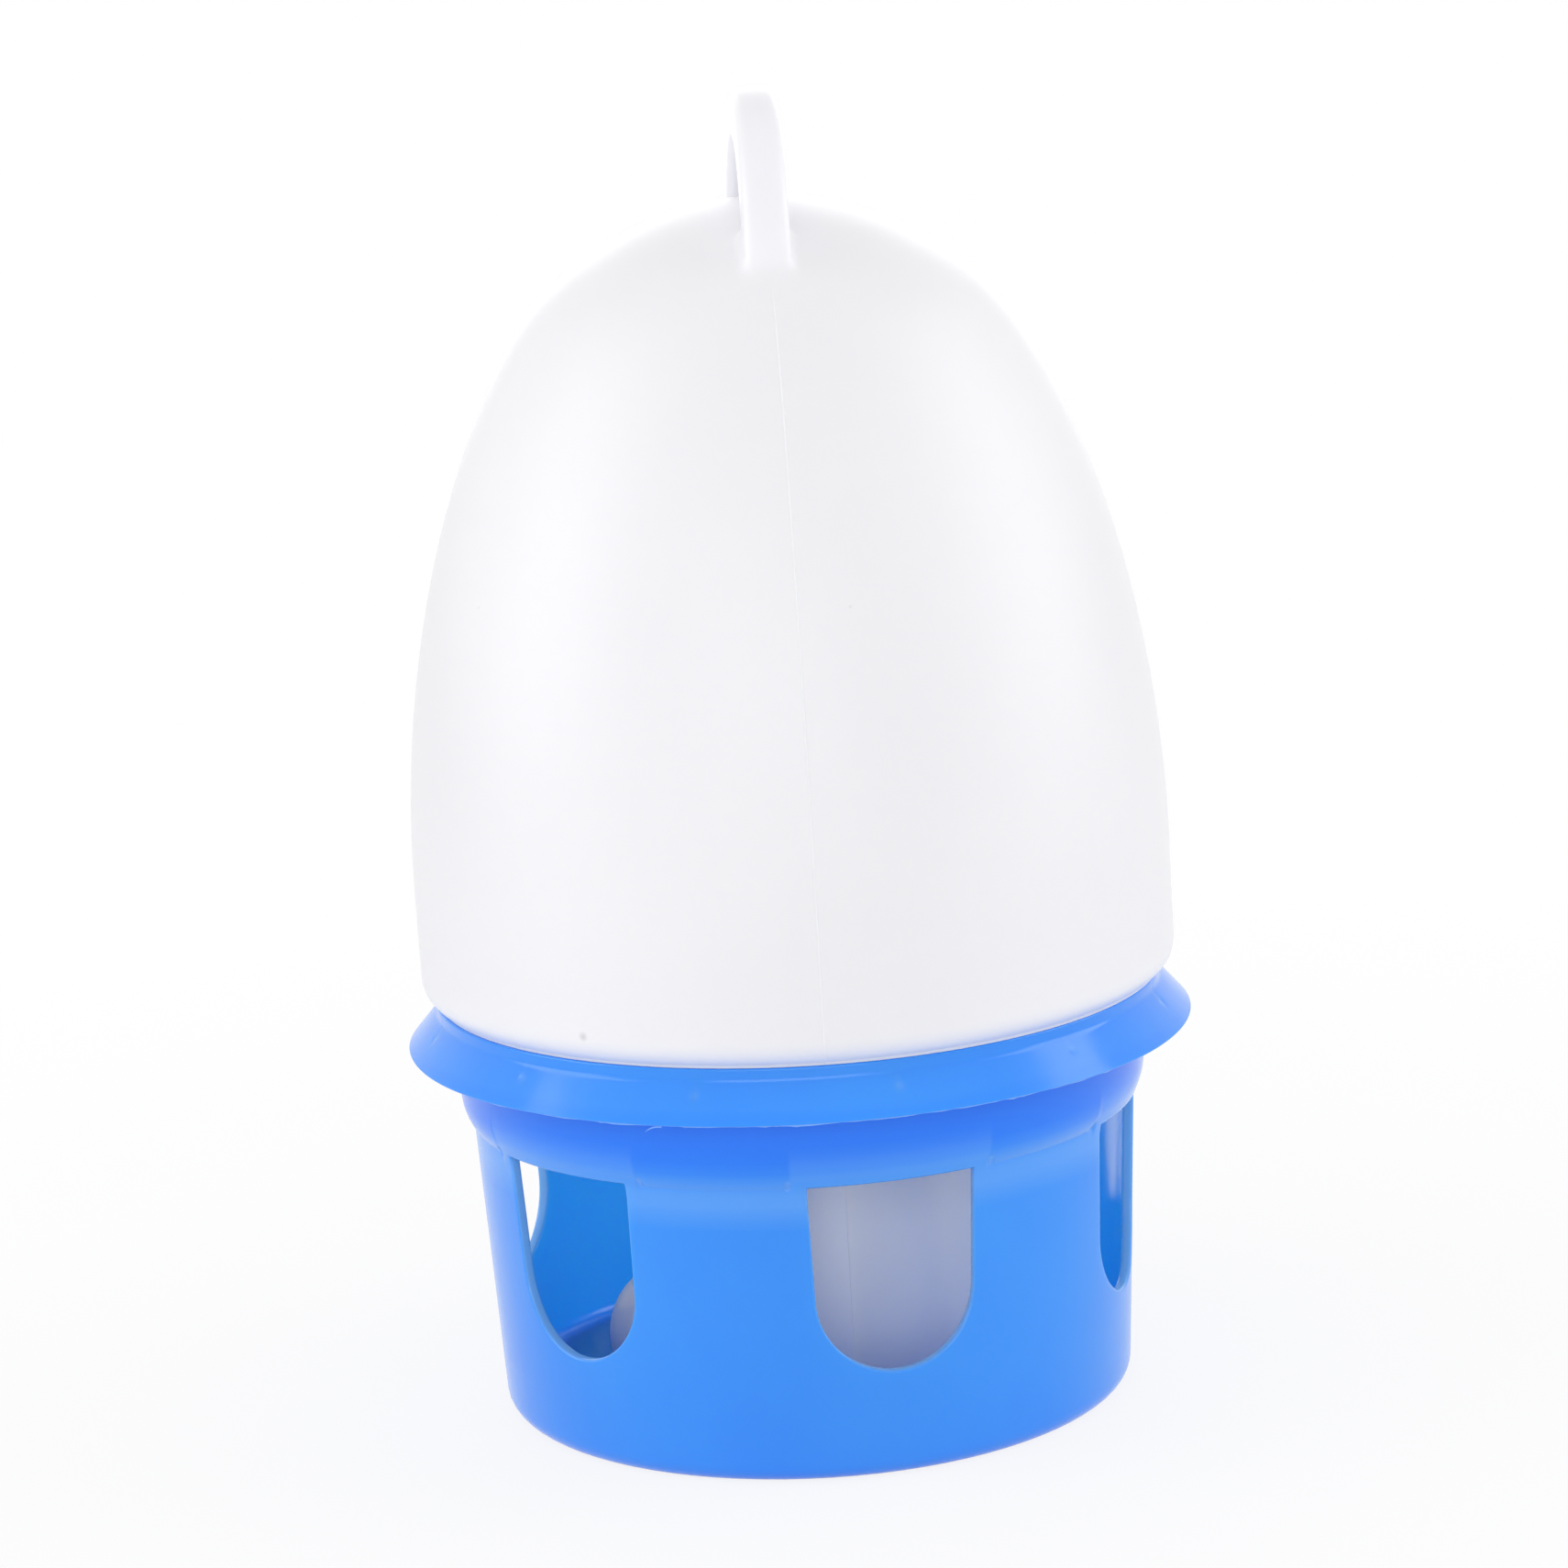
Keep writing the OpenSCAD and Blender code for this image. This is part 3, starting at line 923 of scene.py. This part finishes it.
# One ring of the tank at radius r and height z; the part says what is moulded into it
def tankRing(r, z, part):
    ring = []
    for angle in tankColumns:
        fromSeam = min(angle % 180, 180 - angle % 180)
        radius, height = r, z
        if part == "outside":
            place = aroundPoint(r, angle, z) / tank["unevenGrain"]
            fade = smoothStep(rimZ + 2, rimZ + 20, z) * smoothStep(1, 30, r)
            fade *= 1 - 0.9 * smoothStep(225, 236, z)
            radius += tank["unevenness"] / 2 * fade * noise.noise(place)
            if z > rimZ + 0.3 and r > 3:
                radius += tank["seamHigh"] * max(0, 1 - fromSeam / tank["seamHalf"])
        if part in ("neck", "bore"):
            away = abs((angle - tank["notchTurn"] + 90) % 180 - 90)
            lift = tank["notchHigh"] * (1 - smoothStep(notchAngle - 0.2, notchAngle + 0.2, away))
            height += lift * max(0, min(1, (tank["notchFade"] - z) /
                                        (tank["notchFade"] - tank["mouthZ"])))
        if part == "neck":
            rib = tank["ribHigh"] * (1 - smoothStep(tank["ribAngle"] - tank["ribSide"],
                                                    tank["ribAngle"] + tank["ribSide"], fromSeam))
            lug = lugRadius(angle, z, tank["lugRadius"])
            radius += softMax(tank["neckRadius"], lug, tank["lugBlend"]) + rib
            radius -= tank["neckRadius"]
        if part == "bore":
            lug = lugRadius(angle, z, tank["lugRadius"] - tank["wall"])
            radius += max(neckBore, lug) - neckBore
        ring.append(aroundPoint(radius, angle, height))
    return ring


def buildShell():
    wall = tank["wall"]
    plugZ = tank["plugZ"]
    neckR = tank["neckRadius"]
    flareR = neckR + tank["neckFlare"]
    outside = fillSteps(tankSide(0), 3.0)
    heel = fillSteps(roundCorners([
        (outside[-1].x, outside[-1].y, 0), (rimR - 0.3, rimZ, 0.2), (plugR, rimZ, 0.5),
        (plugR, plugZ, tank["plugRound"]), (flareR + 1, plugZ, 0)]), 4.0)[1:]
    neckTop = roundCorners([(flareR + 0.5, plugZ, 0), (neckR, plugZ, tank["neckFlare"]),
                            (neckR, 66, 0)], 8)
    neckSide = [Vector((neckR, z)) for z in tank["neckRows"]]
    lip = roundCorners([(neckR, 9.4, 0), (neckR, tank["mouthZ"], 0.6),
                        (neckBore, tank["mouthZ"], 0.6), (neckBore, 9.4, 0)], 4)
    bore = [Vector((neckBore, z)) for z in tank["boreRows"]]
    inner = tankSide(wall)
    inside = roundCorners([(neckBore, 68, 0), (neckBore, plugZ + wall, 1.2),
                           (plugR - wall, plugZ + wall, tank["plugRound"] - wall),
                           (plugR - wall, rimZ + wall, 0.6), (inner[-1].x, inner[-1].y, 0)])
    inside = fillSteps(inside, 5.0) + list(reversed(inner))[1:]
    half = len(lip) // 2
    rows = [tankRing(p.x, p.y, part) for part, points in (
        ("outside", outside[1:]),
        ("plug", heel[:-1] + neckTop[:1]),
        ("neck", neckTop[1:] + neckSide + lip[:half]),
        ("bore", lip[half:] + bore),
        ("inside", inside[:-1])) for p in points]
    bm = bmesh.new()
    made = addGrid(bm, rows, closed=True)
    closeRing(bm, made[0], Vector((0, 0, tank["crownZ"])))
    closeRing(bm, made[-1], Vector((0, 0, tank["crownZ"] - wall)))
    return finishMesh(bm, "shell_draft", 30)


loop = {
    "radius": loopHigh.y,
    "topZ": loopHigh.z,
    "bar": 10.5,
    "topWidth": 8.7,
    "footWidth": 9.2,
    "lean": 0.0124,  # sideways for each millimetre above uprightZ
    "uprightZ": 255.3,
    "cornerRound": 1.9,
    "seamHigh": 0.1,
    "blend": 3.0,  # rounding where a foot runs into the crown
    "sink": 0.8,
    "sections": 26,
}
loopZ = loop["topZ"] - loop["radius"]
footZ = shoulder.y


# The loop's cross-section as (side, height, nx, nv): side runs from -1 to 1 of its half width
def loopSection():
    section = []
    for sideX, sideV, first in ((1, 1, 0), (-1, 1, 90), (-1, -1, 180), (1, -1, 270)):
        for step in range(6):
            turn = math.radians(first + 90 * step / 5)
            section.append((sideX, sideV, math.cos(turn), math.sin(turn)))
        if first in (0, 180):
            v = 1 if first == 0 else -1
            for away in (0.5, 0.18, 0, -0.18, -0.5):
                section.append((away * v, None, 0, v))
    return section


# A point of the loop's surface; beta is 0 at the front foot, 90 at the top and 180 behind
def loopPoint(spot, beta):
    sideX, sideV, nx, nv = spot
    turn = math.radians(beta)
    corner = loop["cornerRound"]
    if sideV is None:
        v = nv * (loop["bar"] / 2 + loop["seamHigh"] * (1 if sideX == 0 else 0))
    else:
        v = sideV * (loop["bar"] / 2 - corner) + corner * nv
    radius = min(loop["radius"], loop["radius"] - loop["bar"] / 2 + v)
    z = loopZ + radius * math.sin(turn)
    half = mix(loop["footWidth"], loop["topWidth"], (z - footZ) / (loop["topZ"] - footZ)) / 2
    x = sideX if sideV is None else sideX * (half - corner) + corner * nx
    return Vector((x + loop["lean"] * (z - loop["uprightZ"]), -radius * math.cos(turn), z))


# How far a point lies above the dome, and a point at a distance above the dome
def overDome(point):
    return point.z - domeHeight(math.hypot(point.x, point.y))


def onDome(x, y, above):
    return Vector((x, y, domeHeight(math.hypot(x, y)) + above))


# One line of a foot: it leaves the crown in a small rounding and ends on the loop
def footLine(spot, back):
    low, high = -30.0, 60.0  # the foot meets the crown between these angles
    for _ in range(40):
        middle = (low + high) / 2
        if overDome(loopPoint(spot, 180 - middle if back else middle)) > 0:
            high = middle
        else:
            low = middle
    reach = loop["blend"]
    start = high + math.degrees(reach / (loop["radius"] - loop["bar"] / 2))
    touch = loopPoint(spot, 180 - high if back else high)
    leave = loopPoint(spot, 180 - start if back else start)
    way = Vector((spot[2], spot[3] if back else -spot[3]))
    out = [touch.xy + way * (reach * share) for share in (1.0, 1.25, 1.1)]
    land = onDome(out[0].x, out[0].y, 0.03)
    line = [onDome(out[2].x, out[2].y, -loop["sink"]), onDome(out[1].x, out[1].y, -0.07)]
    for step in range(8):
        t = step / 8
        line.append((1 - t) ** 2 * land + 2 * t * (1 - t) * touch + t * t * leave)
    return line, start


def buildLoop():
    section = loopSection()
    front = [footLine(spot, False) for spot in section]
    rear = [footLine(spot, True) for spot in section]
    rows = [list(row) for row in zip(*(line for line, _ in front))]
    for step in range(loop["sections"] + 1):
        share = step / loop["sections"]
        rows.append([loopPoint(spot, mix(first, 180 - last, share))
                     for spot, (_, first), (_, last) in zip(section, front, rear)])
    rows += reversed([list(row) for row in zip(*(line for line, _ in rear))])
    bm = bmesh.new()
    made = addGrid(bm, rows, closed=True)
    for ring in (made[0], made[-1]):
        centre = sum((v.co for v in ring), Vector()) / len(ring) / mm
        closeRing(bm, ring, onDome(centre.x, centre.y, -loop["sink"]))
    return finishMesh(bm, "loop_draft", 40)


# One closed mesh out of shell and loop
def joinPieces(shell, handle):
    union = shell.modifiers.new("join", "BOOLEAN")
    union.operation = "UNION"
    union.solver = "EXACT"
    union.object = handle
    graph = bpy.context.evaluated_depsgraph_get()
    mesh = bpy.data.meshes.new_from_object(shell.evaluated_get(graph))
    mesh.name = "blown_tank"
    mesh.shade_smooth()
    mesh.set_sharp_from_angle(angle=math.radians(35))
    piece = bpy.data.objects.new("blown_tank", mesh)
    bpy.context.scene.collection.objects.link(piece)
    for draft in (shell, handle):
        bpy.data.objects.remove(draft)
    return piece


# The soft tank stands a little out of true in its base
def settleTank(piece):
    for vert in piece.data.vertices:
        z = vert.co.z / mm
        rise = max(0, z - rimZ) / 100
        aside = sum(part * rise ** power for power, part in enumerate(tank["sway"]))
        aside = mix(tank["plugShift"], aside, smoothStep(rimZ - 5, rimZ, z))
        vert.co += Vector((aside, 0, tank["lift"])) * mm


tankPiece = joinPieces(buildShell(), buildLoop())
settleTank(tankPiece)
tankPiece.data.materials.clear()
tankPiece.data.materials.append(milkyPolyethylene(tankRadiusAt, tank["plugZ"] * mm))
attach(tankPiece, "tank")
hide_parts("tank_shell", "tank_neck", "carry_handle")
print("tank blown:", len(tankPiece.data.vertices), "points")


# Floor and light

studio = {
    "floorSize": 24.0,
    "floorColour": (0.86, 0.86, 0.87),
    "floorShare": 0.15,  # how much of the floor's own shading the camera sees near the drinker
    "fadeFrom": 0.12,  # and the distances over which that runs out
    "fadeTo": 0.45,
    "floorZ": -0.02,  # in millimetres
    "floorGrain": 0.3,
    "skyStrength": 0.63,
    "aim": (0, 0, 0.12),  # the lamps point here
}


def buildFloor():
    bm = bmesh.new()
    half = studio["floorSize"] / 2 / mm
    steps = [-half, -900, -450, -200, 0, 200, 450, 900, half]
    addGrid(bm, [[Vector((x, y, studio["floorZ"])) for x in steps] for y in steps])
    floor = finishMesh(bm, "floor", 30)
    for polygon in floor.data.polygons:
        if polygon.normal.z < 0:
            floor.data.flip_normals()
            break
    material, tree, output = newMaterial("pale_floor")
    white = addNode(tree, "ShaderNodeEmission", {"Color": (1, 1, 1, 1), "Strength": 1.0})
    place = addNode(tree, "ShaderNodeTexCoord").outputs["Object"]
    grain = addNoise(tree, place, studio["floorGrain"])
    pale = tuple(c * 1.02 for c in studio["floorColour"])
    paper = addNode(tree, "ShaderNodeBsdfDiffuse",
                    {"Color": addColours(tree, grain, studio["floorColour"], pale)})
    away = addNode(tree, "ShaderNodeVectorMath", {0: place}, operation="LENGTH")
    clear = addRange(tree, away.outputs["Value"], 1 - studio["floorShare"], 1.0,
                     studio["fadeFrom"], studio["fadeTo"])
    share = addNode(tree, "ShaderNodeMath", {0: seenDirectly(tree), 1: clear},
                    operation="MULTIPLY")
    blend = addNode(tree, "ShaderNodeMixShader", {0: share.outputs[0], 1: paper.outputs[0],
                                                  2: white.outputs[0]})
    tree.links.new(blend.outputs[0], output.inputs["Surface"])
    floor.data.materials.append(material)


def buildSky():
    world = bpy.data.worlds.new("studio")
    bpy.context.scene.world = world
    world.use_nodes = True
    tree = world.node_tree
    tree.nodes.clear()
    output = tree.nodes.new("ShaderNodeOutputWorld")
    plain = addNode(tree, "ShaderNodeBackground",
                    {"Color": (1, 1, 1, 1), "Strength": studio["skyStrength"]})
    white = addNode(tree, "ShaderNodeBackground", {"Color": (1, 1, 1, 1), "Strength": 1.0})
    blend = addNode(tree, "ShaderNodeMixShader", {0: seenDirectly(tree), 1: plain.outputs[0],
                                                  2: white.outputs[0]})
    tree.links.new(blend.outputs[0], output.inputs["Surface"])


# level is the brightness that each lamp alone gives a white surface that faces it
softboxes = {
    "front": {"place": (-0.15, -1.30, 0.42), "size": (1.1, 0.7), "level": 0.23},
    "left": {"place": (-1.2, -0.15, 0.60), "size": (0.8, 1.0), "level": 0.27},
    "right": {"place": (1.2, -0.05, 0.58), "size": (0.8, 1.0), "level": 0.29},
    "back": {"place": (0.10, 1.30, 0.50), "size": (1.1, 0.8), "level": 0.23},
    "top": {"place": (-0.05, 0.10, 1.40), "size": (0.9, 0.9), "level": 0.05},
}


def addSoftboxes():
    target = Vector(studio["aim"])
    for name, lamp in softboxes.items():
        way = target - Vector(lamp["place"])
        data = bpy.data.lights.new("softbox_" + name, "AREA")
        data.shape = "RECTANGLE"
        data.size, data.size_y = lamp["size"]
        data.energy = lamp["level"] * math.pi ** 2 * way.length_squared
        light = bpy.data.objects.new("softbox_" + name, data)
        light.location = lamp["place"]
        light.rotation_euler = way.to_track_quat("-Z", "Y").to_euler()
        bpy.context.scene.collection.objects.link(light)


buildFloor()
buildSky()
addSoftboxes()
bpy.context.scene.view_settings.view_transform = "Standard"
print("studio lit")
